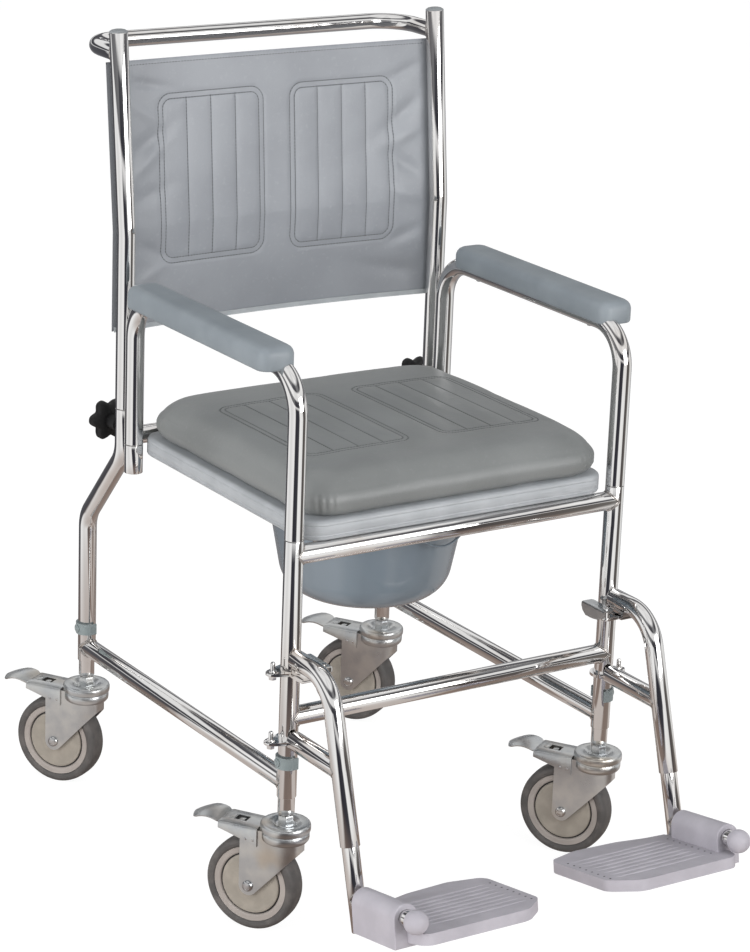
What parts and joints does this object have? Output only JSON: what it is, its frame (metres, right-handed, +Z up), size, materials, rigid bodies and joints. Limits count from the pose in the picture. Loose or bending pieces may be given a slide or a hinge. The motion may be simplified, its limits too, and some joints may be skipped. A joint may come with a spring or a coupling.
{
  "type": "wheeled commode chair",
  "caption": "Chromed tubular commode chair on braked castors, with lift-out arms and back, padded seat over a sliding pan, and swing-away footrests.",
  "frame": {"origin": "middle of the base of the bounding box, on the floor", "axes": "+Z up, the chair faces -Y, +X to the sitter's left side as seen from behind"},
  "size_m": [0.6258, 0.9892, 1.1012],
  "materials": {
    "chrome": "bright chrome plate on steel tube",
    "zinc": "zinc-plated pressed steel",
    "steel": "plated bolt",
    "tyre": "smooth dark grey rubber",
    "hub": "moulded warm grey",
    "clip": "moulded grey",
    "pad": "soft moulded blue-grey",
    "back_vinyl": "padded grey vinyl with sewn panels",
    "seat_vinyl": "padded dark grey vinyl",
    "board": "moulded grey-blue",
    "pan": "glossy grey",
    "knob": "moulded black",
    "footplate": "moulded grey"
  },
  "bodies": {
    "frame": {"front_leg_left": "chrome", "front_leg_right": "chrome", "rear_leg_left": "chrome", "rear_leg_right": "chrome", "front_seat_rail": "chrome", "front_lower_rail": "chrome", "rear_seat_rail": "chrome", "pan_rail_left": "chrome", "pan_rail_right": "chrome"},
    "hanger_left": {"footrest_hanger_left": "chrome"},
    "footrest_left": {"footrest_extension_left": "chrome", "footrest_knob_left": "footplate"},
    "footplate_left": {"footplate_left": "footplate"},
    "hanger_right": {"footrest_hanger_right": "chrome"},
    "footrest_right": {"footrest_extension_right": "chrome", "footrest_knob_right": "footplate"},
    "footplate_right": {"footplate_right": "footplate"},
    "backrest": {"back_post_left": "chrome", "back_post_right": "chrome", "push_bar": "chrome", "back_panel": "back_vinyl"},
    "arm_left": {"arm_tube_left": "chrome", "arm_pad_left": "pad"},
    "arm_right": {"arm_tube_right": "chrome", "arm_pad_right": "pad"},
    "seat_board": {"seat_board": "board"},
    "cushion": {"seat_cushion": "seat_vinyl"},
    "pan": {"commode_pan": "pan"},
    "leg_front_left": {"leg_extension_front_left": "chrome"},
    "castor_front_left": {"fork_front_left": "zinc", "axle_bolt_front_left": "steel"},
    "wheel_front_left": {"wheel_tyre_front_left": "tyre", "wheel_hub_front_left": "hub"},
    "brake_front_left": {"brake_pedal_front_left": "zinc"},
    "leg_front_right": {"leg_extension_front_right": "chrome"},
    "castor_front_right": {"fork_front_right": "zinc", "axle_bolt_front_right": "steel"},
    "wheel_front_right": {"wheel_tyre_front_right": "tyre", "wheel_hub_front_right": "hub"},
    "brake_front_right": {"brake_pedal_front_right": "zinc"},
    "leg_rear_left": {"leg_extension_rear_left": "chrome"},
    "castor_rear_left": {"fork_rear_left": "zinc", "axle_bolt_rear_left": "steel"},
    "wheel_rear_left": {"wheel_tyre_rear_left": "tyre", "wheel_hub_rear_left": "hub"},
    "brake_rear_left": {"brake_pedal_rear_left": "zinc"},
    "leg_rear_right": {"leg_extension_rear_right": "chrome"},
    "castor_rear_right": {"fork_rear_right": "zinc", "axle_bolt_rear_right": "steel"},
    "wheel_rear_right": {"wheel_tyre_rear_right": "tyre", "wheel_hub_rear_right": "hub"},
    "brake_rear_right": {"brake_pedal_rear_right": "zinc"},
    "lever_left": {"latch_lever_left": "zinc"},
    "lever_right": {"latch_lever_right": "zinc"},
    "knob_left": {"star_knob_left": "knob"},
    "knob_right": {"star_knob_right": "knob"},
    "clip_front_left": {"height_clip_front_left": "clip"},
    "clip_front_right": {"height_clip_front_right": "clip"},
    "clip_rear_left": {"height_clip_rear_left": "clip"},
    "clip_rear_right": {"height_clip_rear_right": "clip"}
  },
  "joints": [
    {"name": "hanger_swing_left", "type": "hinge", "parent": "frame", "child": "hanger_left", "pos_m": [-0.22409, -0.17408, 0.36322], "axis": [0, 0, -1], "range_deg": [0, 95]},
    {"name": "footplate_fold_left", "type": "hinge", "parent": "footrest_left", "child": "footplate_left", "pos_m": [-0.22409, -0.34628, 0.11822], "axis": [0, -0.9848, 0.1736], "range_deg": [0, 90]},
    {"name": "hanger_swing_right", "type": "hinge", "parent": "frame", "child": "hanger_right", "pos_m": [0.27591, -0.17408, 0.36322], "axis": [0, 0, 1], "range_deg": [0, 95]},
    {"name": "footplate_fold_right", "type": "hinge", "parent": "footrest_right", "child": "footplate_right", "pos_m": [0.27591, -0.34628, 0.11822], "axis": [0, 0.9848, -0.1736], "range_deg": [0, 90]},
    {"name": "footrest_length_left", "type": "slide", "parent": "hanger_left", "child": "footrest_left", "axis": [0, -0.284, -0.9588], "range_m": [-0.03, 0.07]},
    {"name": "footrest_length_right", "type": "slide", "parent": "hanger_right", "child": "footrest_right", "axis": [0, -0.284, -0.9588], "range_m": [-0.03, 0.07]},
    {"name": "backrest_lift", "type": "slide", "parent": "frame", "child": "backrest", "axis": [0, 0, 1], "range_m": [0, 0.06]},
    {"name": "arm_lift_left", "type": "slide", "parent": "frame", "child": "arm_left", "axis": [0, 0, 1], "range_m": [0, 0.06]},
    {"name": "arm_lift_right", "type": "slide", "parent": "frame", "child": "arm_right", "axis": [0, 0, 1], "range_m": [0, 0.06]},
    {"name": "seat_board_lift", "type": "slide", "parent": "frame", "child": "seat_board", "axis": [0, 0, 1], "range_m": [0, 0.06]},
    {"name": "cushion_lift", "type": "slide", "parent": "seat_board", "child": "cushion", "axis": [0, 0, 1], "range_m": [0, 0.06]},
    {"name": "pan_slide", "type": "slide", "parent": "frame", "child": "pan", "axis": [0, 1, 0], "range_m": [0, 0.3]},
    {"name": "castor_swivel_front_left", "type": "hinge", "parent": "leg_front_left", "child": "castor_front_left", "pos_m": [-0.22409, -0.17408, 0.14372], "axis": [0, 0, 1], "continuous": true},
    {"name": "castor_swivel_front_right", "type": "hinge", "parent": "leg_front_right", "child": "castor_front_right", "pos_m": [0.27591, -0.17408, 0.14372], "axis": [0, 0, 1], "continuous": true},
    {"name": "castor_swivel_rear_left", "type": "hinge", "parent": "leg_rear_left", "child": "castor_rear_left", "pos_m": [-0.22409, 0.37292, 0.14372], "axis": [0, 0, 1], "continuous": true},
    {"name": "castor_swivel_rear_right", "type": "hinge", "parent": "leg_rear_right", "child": "castor_rear_right", "pos_m": [0.27591, 0.37292, 0.14372], "axis": [0, 0, 1], "continuous": true},
    {"name": "wheel_spin_front_left", "type": "hinge", "parent": "castor_front_left", "child": "wheel_front_left", "pos_m": [-0.24665, -0.13866, 0.06272], "axis": [-0.8434, -0.5373, 0], "continuous": true},
    {"name": "wheel_spin_front_right", "type": "hinge", "parent": "castor_front_right", "child": "wheel_front_right", "pos_m": [0.25335, -0.13866, 0.06272], "axis": [-0.8434, -0.5373, 0], "continuous": true},
    {"name": "wheel_spin_rear_left", "type": "hinge", "parent": "castor_rear_left", "child": "wheel_rear_left", "pos_m": [-0.24665, 0.40834, 0.06272], "axis": [-0.8434, -0.5373, 0], "continuous": true},
    {"name": "wheel_spin_rear_right", "type": "hinge", "parent": "castor_rear_right", "child": "wheel_rear_right", "pos_m": [0.25335, 0.40834, 0.06272], "axis": [-0.8434, -0.5373, 0], "continuous": true},
    {"name": "brake_press_front_left", "type": "hinge", "parent": "castor_front_left", "child": "brake_front_left", "pos_m": [-0.25847, -0.12011, 0.13872], "axis": [-0.8434, -0.5373, 0], "range_deg": [0, 12]},
    {"name": "brake_press_front_right", "type": "hinge", "parent": "castor_front_right", "child": "brake_front_right", "pos_m": [0.24153, -0.12011, 0.13872], "axis": [-0.8434, -0.5373, 0], "range_deg": [0, 12]},
    {"name": "brake_press_rear_left", "type": "hinge", "parent": "castor_rear_left", "child": "brake_rear_left", "pos_m": [-0.25847, 0.42689, 0.13872], "axis": [-0.8434, -0.5373, 0], "range_deg": [0, 12]},
    {"name": "brake_press_rear_right", "type": "hinge", "parent": "castor_rear_right", "child": "brake_rear_right", "pos_m": [0.24153, 0.42689, 0.13872], "axis": [-0.8434, -0.5373, 0], "range_deg": [0, 12]},
    {"name": "lever_release_left", "type": "hinge", "parent": "hanger_left", "child": "lever_left", "pos_m": [-0.19609, -0.20808, 0.37422], "axis": [0, 0, -1], "range_deg": [0, 25], "stiffness_Nm_per_rad": 0.1, "springref_deg": -17.19},
    {"name": "lever_release_right", "type": "hinge", "parent": "hanger_right", "child": "lever_right", "pos_m": [0.24791, -0.20808, 0.37422], "axis": [0, 0, 1], "range_deg": [0, 25], "stiffness_Nm_per_rad": 0.1, "springref_deg": -17.19},
    {"name": "knob_turn_left", "type": "hinge", "parent": "frame", "child": "knob_left", "pos_m": [-0.22409, 0.27092, 0.56222], "axis": [0, 1, 0], "continuous": true},
    {"name": "knob_turn_right", "type": "hinge", "parent": "frame", "child": "knob_right", "pos_m": [0.27591, 0.27092, 0.56222], "axis": [0, 1, 0], "continuous": true},
    {"name": "leg_height_front_left", "type": "slide", "parent": "frame", "child": "leg_front_left", "axis": [0, 0, -1], "range_m": [0, 0.1]},
    {"name": "leg_height_front_right", "type": "slide", "parent": "frame", "child": "leg_front_right", "axis": [0, 0, -1], "range_m": [0, 0.1]},
    {"name": "leg_height_rear_left", "type": "slide", "parent": "frame", "child": "leg_rear_left", "axis": [0, 0, -1], "range_m": [0, 0.1]},
    {"name": "leg_height_rear_right", "type": "slide", "parent": "frame", "child": "leg_rear_right", "axis": [0, 0, -1], "range_m": [0, 0.1]},
    {"name": "clip_pull_front_left", "type": "slide", "parent": "frame", "child": "clip_front_left", "axis": [-1, 0, 0], "range_m": [0, 0.03]},
    {"name": "clip_pull_front_right", "type": "slide", "parent": "frame", "child": "clip_front_right", "axis": [1, 0, 0], "range_m": [0, 0.03]},
    {"name": "clip_pull_rear_left", "type": "slide", "parent": "frame", "child": "clip_rear_left", "axis": [-1, 0, 0], "range_m": [0, 0.03]},
    {"name": "clip_pull_rear_right", "type": "slide", "parent": "frame", "child": "clip_rear_right", "axis": [1, 0, 0], "range_m": [0, 0.03]}
  ]
}
